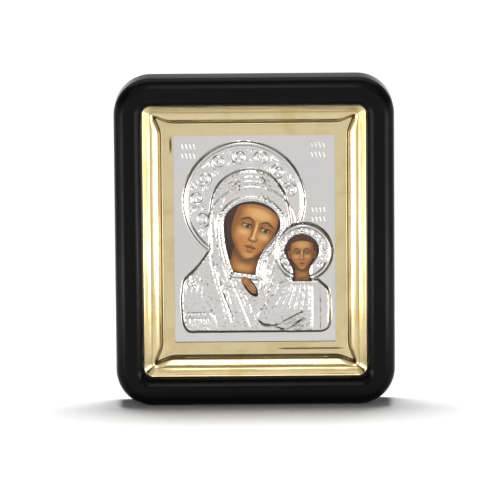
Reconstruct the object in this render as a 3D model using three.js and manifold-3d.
// Framed icon panel: a black moulded frame, a gilt stepped liner, a stamped silver cover with
// openings for the painted faces and hand, the painted card behind it, and a back board.
// Millimetres. The panel stands on its lower edge and its front looks along -Y.
import * as THREE from "three";
import { ParametricGeometry } from "three/addons/geometries/ParametricGeometry.js";
import { mergeVertices } from "three/addons/utils/BufferGeometryUtils.js";
import Module from "manifold-3d";

const wasm = await Module();
wasm.setup();

// Driving dimensions
const WIDTH = 110;
const HEIGHT = 130;
const DEPTH = 20;
const GAP = 0.3; // clearance between neighbouring pieces

// Frame moulding, in section: inset from the outer edge, and height above the back
const BAND = 11.2; // width of the moulding seen from the front
const OUTER_CORNER = 14.5;
const OPENING_CORNER = 3.3;
const OUTER_ROUND = { across: 4.2, deep: 5.0 };
const INNER_ROUND = { across: 4.2, deep: 4.2 };
const LIP_BACK = 13.6; // height of the lip's rear face
const WALL = 4.0; // thickness of the side wall behind the lip
const BACK_CHAMFER = 0.8;
const ROUND_STEPS = 5;
const CORNER_STEPS = 6;

// Picture opening left by the liner
const PICTURE_WIDTH = 63.6;
const PICTURE_HEIGHT = 82.4;
const PICTURE_CORNER = 0.4;

// Liner sheet
const LINER_THICKNESS = 0.8;
const LINER_FLANGE = WALL + 2 * GAP; // inset of the flange's hidden edge
const LINER_TOP = LIP_BACK - GAP;
const LINER_FLARE = 3.6; // how far the groove runs out towards each corner
const FLARE_REACH = 1.8; // length over which the flare dies away along a side
const FLARE_CUTS = [5, 2]; // where the sides are cut, measured from the corner arc
const LINER_CORNER_STEPS = 3;
// Section of the liner from the frame's lip (share 0) to the picture (share 1): drop below the flange, and
// how much of the flare that line takes
const LINER_SECTION = [
  { share: 0.0, drop: 0.0, flare: 0.0 }, // cove under the lip
  { share: 0.08, drop: 0.75, flare: 0.05 },
  { share: 0.2, drop: 1.7, flare: 0.2 },
  { share: 0.25, drop: 1.92, flare: 0.25 }, // rounded slope
  { share: 0.36, drop: 2.25, flare: 0.5 },
  { share: 0.455, drop: 2.7, flare: 0.78 },
  { share: 0.51, drop: 3.22, flare: 0.93 },
  { share: 0.55, drop: 3.85, flare: 1.0 }, // groove
  { share: 0.585, drop: 4.6, flare: 1.0 },
  { share: 0.605, drop: 4.85, flare: 1.0 },
  { share: 0.63, drop: 4.7, flare: 0.9 }, // flat band
  { share: 1.0, drop: 4.9, flare: 0.0 },
];

// Heights of the layers above the frame's back
const COVER_FRONT = 7.3;
const COVER_THICKNESS = 0.8;
const COVER_MARGIN = 4; // how far the cover runs under the liner
const CARD_THICKNESS = 1.6;
const BOARD_THICKNESS = 2.5;
const CARD_FRONT = COVER_FRONT - COVER_THICKNESS - GAP;
const BOARD_FRONT = CARD_FRONT - CARD_THICKNESS - GAP;

// Relief of the cover: heights are measured from its flat ground
const SINK = 0.4; // how deep each raised form is rooted in the sheet
const MANTLE_HEIGHT = 0.95;
const CHILD_HEIGHT = 1.45;
const RIM_HEIGHT = 1.75; // raised borders round the openings
const RIM_WIDTH = 2.0;
const EDGE_ROUND = 0.45;
const BOTTOM_LINE = -37.4; // the figures are cut off level here
const HALO = { x: -4.1, y: 14.8, radius: 24.5, field: 0.18, bead: 0.95, segments: 44 };
const CHILD_HALO = { x: 19.1, y: -5.3, radius: 11.8, field: 1.2, bead: 1.85, segments: 32 };
const HALO_RIM = { lip: 0.1, flat: 0.7, slope: 0.4, crown: 0.7 }; // from the outer edge inwards
const SCROLL = {
  orbit: 18.3, first: 14, last: 203, count: 8, swing: 3.0, stem: 0.4,
  curl: { outer: 2.5, inner: 0.7, turns: 1.4, points: 8, steps: 10, wire: 0.45, offset: 0.3 },
};
const SCROLL_SIDES = 4;
const FOLD_SIDES = 6;
const FOLD_STEPS = 2; // straight lengths between two points of a fold's line
const FOLD_DIP = 2.2; // how far a fold's ends dip, in radii below its crest
const OUTLINE_STEPS = 3; // straight lengths to each curve of a raised outline
const OPENING_STEPS = 9; // straight lengths to each curve of an opening

// Openings cut through the cover: heads are rounded above, with a neck below; the hand is an oval
const FACE_OPENING = {
  x: -1.0, y: 6.0, half: 11.2, up: 9.1, tilt: -4,
  neckLeft: [-8.6, -13.2], neckRight: [0.2, -14.4], waistLeft: [-11.4, -6.0], waistRight: [0.6, -3.6],
};
const CHILD_OPENING = {
  x: 18.6, y: -4.8, half: 6.9, up: 6.7, tilt: 0,
  neckLeft: [14.5, -16.8], neckRight: [22.8, -16.8], waistLeft: [16.7, -11.2], waistRight: [18.6, -11.2],
};
const CUT_REACH = 4; // the cut runs this far to each side of the ground
const HAND_OPENING = { x: -2.0, y: -19.0, across: 2.0, up: 4.8, tilt: 36 };

// Fans of folds: each fan spreads evenly from one guide line to another
const FOLD_FANS = [
  { // hem of the veil, from the crown past the cheek to the lower edge
    from: [[-17.2, 14.2], [-17.6, 4.9], [-17.2, -6.4], [-15.9, -13.7], [-13.6, -21.7], [-8.8, -37.0]],
    to: [[-15.2, 11.6], [-14.9, 4.9], [-13.2, -5.7], [-10.6, -15.1], [-7.4, -23.0], [-1.8, -37.0]],
    count: 2, radius: 0.75, top: 1.65,
  },
  { // finer folds beside the hem
    from: [[-15.9, 3.0], [-15.2, -5.8], [-13.4, -14.6], [-11.0, -22.0], [-6.6, -36.4]],
    to: [[-13.6, 4.0], [-12.2, -6.0], [-9.4, -14.0], [-5.9, -22.2], [0.2, -36.4]],
    count: 3, radius: 0.65, top: 1.45,
  },
  { // veil over the head
    from: [[-15.4, 17.0], [-10.0, 23.6], [-1.8, 26.4], [6.4, 23.8], [11.6, 16.6]],
    to: [[-13.6, 14.2], [-8.6, 20.6], [-1.4, 22.8], [6.4, 20.4], [11.4, 13.0]],
    count: 3, radius: 0.6, top: 1.35,
  },
  { // veil beside the near temple, falling past the cheek
    from: [[-10.6, 25.0], [-14.6, 20.0], [-16.6, 14.4], [-16.6, 6.0], [-16.2, -3.0]],
    to: [[-6.0, 22.6], [-10.6, 17.6], [-13.0, 11.6], [-13.6, 5.0], [-13.2, -1.0]],
    count: 3, radius: 0.6, top: 1.35,
  },
  { // veil on the far side of the face, falling beside the child
    from: [[8.8, -1.0], [4.6, -8.6], [2.8, -16.0], [1.4, -24.0], [0.0, -29.0]],
    to: [[11.0, -13.6], [8.4, -16.4], [5.8, -21.0], [2.6, -25.6], [0.6, -28.8]],
    count: 3, radius: 0.75, top: 1.6,
  },
  { // mantle over the near shoulder
    from: [[-19.4, -9.0], [-24.4, -14.6], [-27.0, -20.0], [-27.6, -27.4]],
    to: [[-18.6, -13.0], [-20.2, -18.0], [-20.6, -23.0], [-19.6, -28.2]],
    count: 3, radius: 0.6, top: 1.35,
  },
  { // fringe under the sleeve's hem
    from: [[-27.4, -31.4], [-27.2, -34.0], [-26.0, -36.6]],
    to: [[-18.4, -31.2], [-17.8, -34.0], [-17.2, -36.8]],
    count: 5, radius: 0.55, top: 1.35,
  },
  { // cuff between the sleeve and the veil's hem
    from: [[-17.6, -26.8], [-16.2, -32.0], [-15.0, -36.8]],
    to: [[-13.2, -23.4], [-11.6, -31.0], [-10.0, -36.8]],
    count: 2, radius: 0.6, top: 1.35,
  },
  { // mantle below the hand
    from: [[-7.6, -16.0], [-5.4, -20.4], [-2.6, -26.4]],
    to: [[-0.6, -25.6], [-0.8, -29.0], [0.4, -36.4]],
    count: 3, radius: 0.6, top: 1.35,
  },
  { // child's tunic and sleeve
    from: [[12.6, -17.4], [11.0, -22.0], [7.4, -28.6]],
    to: [[20.8, -17.4], [21.0, -23.0], [20.6, -29.6]],
    count: 5, radius: 0.65, top: 1.95,
  },
  { // cloak wrapped round the child
    from: [[21.4, -28.6], [14.4, -31.6], [8.2, -34.0]],
    to: [[21.6, -33.4], [17.0, -35.4], [12.6, -36.8]],
    count: 3, radius: 0.65, top: 1.9,
  },
  { // straight edges of the child's cloak
    from: [[22.2, -17.4], [22.4, -27.0], [22.2, -37.0]],
    to: [[28.6, -21.0], [29.0, -27.0], [28.6, -36.0]],
    count: 2, radius: 0.5, top: 1.9,
  },
];
const SLEEVE_HEM = { left: -28.0, right: -17.4, y: -30.1, high: 1.5, top: 1.4 };

// Inscriptions stand as rows of plain slanted strokes
const STROKE_BLOCKS = [
  { x: -25.6, y: 35.0, rows: 2, count: 4 },
  { x: 24.8, y: 35.4, rows: 2, count: 4 },
  { x: 24.9, y: 9.6, rows: 2, count: 4 },
];
const STROKE = { width: 0.6, length: 2.9, height: 0.2, pitch: 1.55, rowPitch: 3.8, slant: 16 };

// Materials
const blackPlastic = new THREE.MeshStandardMaterial({ color: 0x1a1a1b, roughness: 0.28, metalness: 0 });
const giltFoil = new THREE.MeshStandardMaterial({ color: 0xd9b765, roughness: 0.18, metalness: 1 });
const silverFoil = new THREE.MeshStandardMaterial({ color: 0xcfcdcd, roughness: 0.25, metalness: 1 });
const paintedCard = new THREE.MeshStandardMaterial({ color: 0x8a5228, roughness: 0.55, metalness: 0 });
const backPaper = new THREE.MeshStandardMaterial({ color: 0x2a2422, roughness: 0.9, metalness: 0 });

const ARC_HANDLE = 0.55; // control points of a curve that follows a quarter circle
const lerp = THREE.MathUtils.lerp;
const radians = THREE.MathUtils.degToRad;

// A closed geometry as a solid that can be joined and cut
function solidOf(geometry) {
  geometry.deleteAttribute("normal");
  geometry.deleteAttribute("uv");
  const merged = mergeVertices(geometry, 1e-4);
  return new wasm.Manifold(
    new wasm.Mesh({
      numProp: 3,
      vertProperties: merged.attributes.position.array,
      triVerts: new Uint32Array(merged.index.array),
    }),
  );
}

function geometryOf(solid) {
  const mesh = solid.getMesh();
  const geometry = new THREE.BufferGeometry();
  geometry.setAttribute("position", new THREE.BufferAttribute(mesh.vertProperties, mesh.numProp));
  geometry.setIndex(new THREE.BufferAttribute(mesh.triVerts, 1));
  geometry.computeVertexNormals();
  return geometry;
}

function named(name, geometry, material) {
  const mesh = new THREE.Mesh(geometry, material);
  mesh.name = name;
  return mesh;
}

// Corner radius of the moulding's outline at a given inset
function cornerRadius(inset) {
  return lerp(OUTER_CORNER, OPENING_CORNER, Math.min(inset / BAND, 1));
}

// Points of a rounded rectangle, anticlockwise. The cuts add points on each side, measured from the
// ends of the corner arcs.
function roundedRing(halfWidth, halfHeight, radius, steps, cuts = []) {
  const ring = [];
  for (let corner = 0; corner < 4; corner++) {
    const turn = (corner * Math.PI) / 2;
    const signX = corner === 0 || corner === 3 ? 1 : -1;
    const signY = corner < 2 ? 1 : -1;
    const centre = new THREE.Vector2(signX * (halfWidth - radius), signY * (halfHeight - radius));
    const outward = new THREE.Vector2(Math.cos(turn), Math.sin(turn));
    const along = new THREE.Vector2(-outward.y, outward.x);
    const start = centre.clone().addScaledVector(outward, radius);
    const end = centre.clone().addScaledVector(along, radius);
    for (const cut of cuts) ring.push(start.clone().addScaledVector(along, -cut));
    for (let step = 0; step <= steps; step++) {
      const angle = ((step / steps) * Math.PI) / 2;
      const point = centre.clone().addScaledVector(outward, radius * Math.cos(angle));
      ring.push(point.addScaledVector(along, radius * Math.sin(angle)));
    }
    for (const cut of cuts.toReversed()) ring.push(end.clone().addScaledVector(outward, -cut));
  }
  return ring;
}

// A closed moulding: rings[i] is the outline at the section's point i, and heights[i] its height
function moulding(rings, heights) {
  const around = rings[0].length;
  const across = rings.length;
  const place = (u, v, target) => {
    const point = rings[Math.round(v * across) % across][Math.round(u * around) % around];
    target.set(point.x, point.y, heights[Math.round(v * across) % across]);
  };
  const solid = solidOf(new ParametricGeometry(place, around, across));
  return geometryOf(solid);
}

// Quarter of an ellipse in the frame's section; the angles are in degrees
function quarterRound(centreInset, { across, deep }, fromAngle, toAngle) {
  const points = [];
  for (let step = 0; step <= ROUND_STEPS; step++) {
    const angle = radians(lerp(fromAngle, toAngle, step / ROUND_STEPS));
    points.push([centreInset + across * Math.cos(angle), DEPTH - deep + deep * Math.sin(angle)]);
  }
  return points;
}

// Frame: one moulded ring with a rebate behind its lip
function frameGeometry() {
  const section = [
    [BACK_CHAMFER, 0],
    [0, BACK_CHAMFER],
    ...quarterRound(OUTER_ROUND.across, OUTER_ROUND, 180, 90),
    ...quarterRound(BAND - INNER_ROUND.across, INNER_ROUND, 90, 0),
    [BAND, LIP_BACK],
    [WALL, LIP_BACK],
    [WALL, 0],
  ];
  const rings = section.map(([inset]) =>
    roundedRing(WIDTH / 2 - inset, HEIGHT / 2 - inset, cornerRadius(inset), CORNER_STEPS),
  );
  return moulding(rings, section.map(([, height]) => height));
}

// Liner: a thin stepped sheet with a flange behind the frame's lip
function linerGeometry() {
  const ringAt = (share, flare) => {
    const ring = roundedRing(
      lerp(WIDTH / 2 - BAND, PICTURE_WIDTH / 2, share),
      lerp(HEIGHT / 2 - BAND, PICTURE_HEIGHT / 2, share),
      lerp(OPENING_CORNER, PICTURE_CORNER, share),
      LINER_CORNER_STEPS,
      FLARE_CUTS,
    );
    return ring.map((point) => flared(point, ring, flare));
  };
  const flange = roundedRing(
    WIDTH / 2 - LINER_FLANGE,
    HEIGHT / 2 - LINER_FLANGE,
    cornerRadius(LINER_FLANGE),
    LINER_CORNER_STEPS,
    FLARE_CUTS,
  );
  const front = LINER_SECTION.map(({ share, drop, flare }) => ({
    ring: ringAt(share, flare),
    height: LINER_TOP - drop,
  }));
  const rear = front.toReversed().map(({ ring, height }) => ({ ring, height: height - LINER_THICKNESS }));
  const loops = [
    { ring: flange, height: LINER_TOP - LINER_THICKNESS },
    { ring: flange, height: LINER_TOP },
    ...front,
    ...rear,
  ];
  return moulding(loops.map(({ ring }) => ring), loops.map(({ height }) => height));
}

// Pulls a point of a ring outwards near the ring's corners, as the stamped groove does
function flared(point, ring, amount) {
  const reachX = Math.max(...ring.map(({ x }) => x)) - Math.abs(point.x);
  const reachY = Math.max(...ring.map(({ y }) => y)) - Math.abs(point.y);
  const pull = amount * LINER_FLARE * Math.exp(-Math.max(reachX, reachY) / FLARE_REACH);
  return new THREE.Vector2(point.x + Math.sign(point.x) * pull, point.y + Math.sign(point.y) * pull);
}

// Card and back board: flat sheets that fill the frame's rebate
function sheetGeometry(front, thickness) {
  const inset = WALL + GAP;
  const ring = roundedRing(WIDTH / 2 - inset, HEIGHT / 2 - inset, cornerRadius(inset), CORNER_STEPS);
  const outline = new THREE.Shape(ring);
  const sheet = new THREE.ExtrudeGeometry(outline, { depth: thickness, bevelEnabled: false });
  return sheet.translate(0, 0, front - thickness);
}

// Relief: every raised form is rooted SINK below the ground of the cover
function raised(shape, height) {
  const form = new THREE.ExtrudeGeometry(shape, {
    depth: height + SINK - 2 * EDGE_ROUND,
    bevelThickness: EDGE_ROUND,
    bevelSize: EDGE_ROUND,
    bevelOffset: -EDGE_ROUND,
    bevelSegments: 2,
    curveSegments: OUTLINE_STEPS,
  });
  return solidOf(form.translate(0, 0, EDGE_ROUND - SINK));
}

// A round bar along a smooth line
function wire(points, radius, sides, steps) {
  const section = new THREE.Shape().absarc(0, 0, radius, 0, 2 * Math.PI);
  const extrudePath = new THREE.CatmullRomCurve3(points);
  return solidOf(new THREE.ExtrudeGeometry(section, { steps, curveSegments: sides / 2, extrudePath }));
}

// A ridge along a line, with both ends dipping under the surface
function fold(line, radius, top) {
  const last = line.length - 1;
  const buried = top - FOLD_DIP * radius;
  const points = line.map(([x, y], i) => {
    const atEnd = i === 0 || i === last;
    return new THREE.Vector3(x, y, atEnd ? buried : top - radius);
  });
  return wire(points, radius, FOLD_SIDES, FOLD_STEPS * last);
}

function foldFan({ from, to, count, radius, top }) {
  const folds = [];
  for (let i = 0; i < count; i++) {
    const share = i / (count - 1);
    const line = from.map(([x, y], k) => [lerp(x, to[k][0], share), lerp(y, to[k][1], share)]);
    folds.push(fold(line, radius, top));
  }
  return folds;
}

// A turned disc with a bead near its rim
function halo({ x, y, radius, field, bead, segments }) {
  const { lip, flat, slope, crown } = HALO_RIM;
  const profile = [
    [0, -SINK],
    [radius, -SINK],
    [radius, field + lip],
    [radius - flat, field + lip],
    [radius - flat - slope, bead],
    [radius - flat - slope - crown, bead],
    [radius - flat - 2 * slope - crown, field],
    [0, field],
  ].map(([r, z]) => new THREE.Vector2(r, z));
  const turned = new THREE.LatheGeometry(profile, segments).rotateX(Math.PI / 2);
  return solidOf(turned.translate(x, y, 0));
}

function haloPoint(radius, degrees) {
  const angle = radians(degrees);
  return [HALO.x + radius * Math.cos(angle), HALO.y + radius * Math.sin(angle)];
}

// Scrolling stem with a curled tendril in each bend
function haloOrnament() {
  const { orbit, first, last, count, swing, stem, curl } = SCROLL;
  const pitch = (last - first) / (count - 1);
  const height = HALO.field + stem / 4;
  const forms = [];
  const stemPoints = [];
  for (let i = 0; i < count; i++) {
    const side = i % 2 ? 1 : -1;
    const bearing = first + i * pitch;
    const [x, y] = haloPoint(orbit - side * curl.offset, bearing);
    const tendril = [];
    for (let k = 0; k <= curl.points; k++) {
      const share = k / curl.points;
      const angle = radians(bearing) + side * (share * curl.turns * 2 * Math.PI);
      const radius = lerp(curl.outer, curl.inner, share) * side;
      tendril.push(new THREE.Vector3(x + radius * Math.cos(angle), y + radius * Math.sin(angle), height));
    }
    forms.push(wire(tendril, curl.wire, SCROLL_SIDES, curl.steps));
    stemPoints.push(new THREE.Vector3(...haloPoint(orbit + side * swing, bearing), height));
    stemPoints.push(new THREE.Vector3(...haloPoint(orbit, bearing + pitch / 2), height));
  }
  forms.push(wire(stemPoints, stem, SCROLL_SIDES, 2 * stemPoints.length));
  return forms;
}

// Rounded head with a neck below it, grown by a margin
function headOutline({ x, y, half, up, tilt, neckLeft, neckRight, waistLeft, waistRight }, margin) {
  const wide = half + margin;
  const high = up + margin;
  const lean = radians(tilt);
  const tilted = (across, above) => [
    x + across * wide * Math.cos(lean) - above * high * Math.sin(lean),
    y + across * wide * Math.sin(lean) + above * high * Math.cos(lean),
  ];
  const shape = new THREE.Shape();
  shape.moveTo(...tilted(1, 0));
  shape.bezierCurveTo(...tilted(1, ARC_HANDLE), ...tilted(ARC_HANDLE, 1), ...tilted(0, 1));
  shape.bezierCurveTo(...tilted(-ARC_HANDLE, 1), ...tilted(-1, ARC_HANDLE), ...tilted(-1, 0));
  shape.bezierCurveTo(
    ...tilted(-1, -ARC_HANDLE),
    waistLeft[0] - margin, waistLeft[1],
    neckLeft[0] - margin, neckLeft[1] - margin,
  );
  shape.lineTo(neckRight[0] + margin, neckRight[1] - margin);
  shape.bezierCurveTo(waistRight[0] + margin, waistRight[1], ...tilted(1, -ARC_HANDLE), ...tilted(1, 0));
  return shape;
}

function ovalOutline({ x, y, across, up, tilt }) {
  return new THREE.Shape().absellipse(x, y, across, up, 0, 2 * Math.PI, false, radians(tilt));
}

function cutter(shape) {
  const through = new THREE.ExtrudeGeometry(shape, {
    depth: 2 * CUT_REACH,
    bevelEnabled: false,
    curveSegments: OPENING_STEPS,
  });
  return solidOf(through.translate(0, 0, -CUT_REACH));
}

const vectors = (points) => points.map(([x, y]) => new THREE.Vector2(x, y));

// Veil and mantle of the larger figure, cut off level below
function mantleOutline() {
  const arm = [[-29.5, -24.8], [-29.1, -19.6], [-27.9, -15.5], [-22.7, -10.3], [-18.2, -4.0]];
  const veilLeft = [[-18.4, 5.3], [-16.8, 17.8], [-11.6, 25.0]];
  const veilRight = [[-2.1, 28.3], [6.8, 25.6], [12.6, 18.2], [14.2, 11.0]];
  const shape = new THREE.Shape();
  shape.moveTo(-25.1, BOTTOM_LINE);
  shape.quadraticCurveTo(-28.6, BOTTOM_LINE, -29.1, -32.0);
  shape.splineThru(vectors(arm));
  shape.splineThru(vectors([...veilLeft, ...veilRight]));
  shape.lineTo(16.0, -4.0);
  shape.lineTo(16.0, BOTTOM_LINE);
  return shape;
}

// Robe of the smaller figure, with the sleeve reaching to the left
function robeOutline() {
  const back = [[30.1, -26.8], [29.3, -20.4], [25.3, -16.2]];
  const sleeve = [[9.6, -17.6], [7.0, -21.7], [3.6, -26.0], [0.6, -30.2]];
  const hem = [[2.0, -33.4], [5.3, -34.6], [9.4, -35.8]];
  const shape = new THREE.Shape();
  shape.moveTo(12.6, BOTTOM_LINE);
  shape.lineTo(25.3, BOTTOM_LINE);
  shape.quadraticCurveTo(29.8, BOTTOM_LINE, 30.1, -32.8);
  shape.splineThru(vectors(back));
  shape.lineTo(13.0, -15.6);
  shape.splineThru(vectors([...sleeve, ...hem]));
  return shape;
}

function strokeBlock({ x, y, rows, count }) {
  const strokes = [];
  for (let i = 0; i < rows * count; i++) {
    const column = (i % count) - (count - 1) / 2;
    const row = Math.floor(i / count) - (rows - 1) / 2;
    const stroke = new THREE.BoxGeometry(STROKE.width, STROKE.length, STROKE.height + SINK);
    stroke.rotateZ(radians(STROKE.slant));
    stroke.translate(x + column * STROKE.pitch, y + row * STROKE.rowPitch, (STROKE.height - SINK) / 2);
    strokes.push(solidOf(stroke));
  }
  return strokes;
}

// Stamped cover: flat sheet, raised figures and ornament, then the openings
function coverGeometry() {
  const sheet = new THREE.BoxGeometry(
    PICTURE_WIDTH + 2 * COVER_MARGIN,
    PICTURE_HEIGHT + 2 * COVER_MARGIN,
    COVER_THICKNESS,
  ).translate(0, 0, -COVER_THICKNESS / 2);
  const { left, right, y, high, top } = SLEEVE_HEM;
  const hem = new THREE.BoxGeometry(right - left, high, top + SINK);
  hem.translate((left + right) / 2, y, (top - SINK) / 2);
  const forms = [
    solidOf(sheet),
    halo(HALO),
    ...haloOrnament(),
    raised(mantleOutline(), MANTLE_HEIGHT),
    raised(headOutline(FACE_OPENING, RIM_WIDTH), RIM_HEIGHT),
    halo(CHILD_HALO),
    raised(robeOutline(), CHILD_HEIGHT),
    solidOf(hem),
    ...FOLD_FANS.flatMap(foldFan),
    ...STROKE_BLOCKS.flatMap(strokeBlock),
  ];
  const joined = wasm.Manifold.union(forms);
  const openings = [
    cutter(headOutline(FACE_OPENING, 0)),
    cutter(headOutline(CHILD_OPENING, 0)),
    cutter(ovalOutline(HAND_OPENING)),
  ];
  const cut = openings.reduce((solid, opening) => solid.subtract(opening), joined);
  return geometryOf(cut).translate(0, 0, COVER_FRONT);
}

// The pieces lie in the picture's own frame: x right, y up, z towards the viewer
const panel = new THREE.Group();
panel.rotation.x = Math.PI / 2;
panel.position.set(0, DEPTH / 2, HEIGHT / 2);
panel.add(
  named("frame", frameGeometry(), blackPlastic),
  named("gilt_liner", linerGeometry(), giltFoil),
  named("silver_cover", coverGeometry(), silverFoil),
  named("painted_card", sheetGeometry(CARD_FRONT, CARD_THICKNESS), paintedCard),
  named("back_board", sheetGeometry(BOARD_FRONT, BOARD_THICKNESS), backPaper),
);

const iconPanel = new THREE.Group();
iconPanel.add(panel);

export default iconPanel;
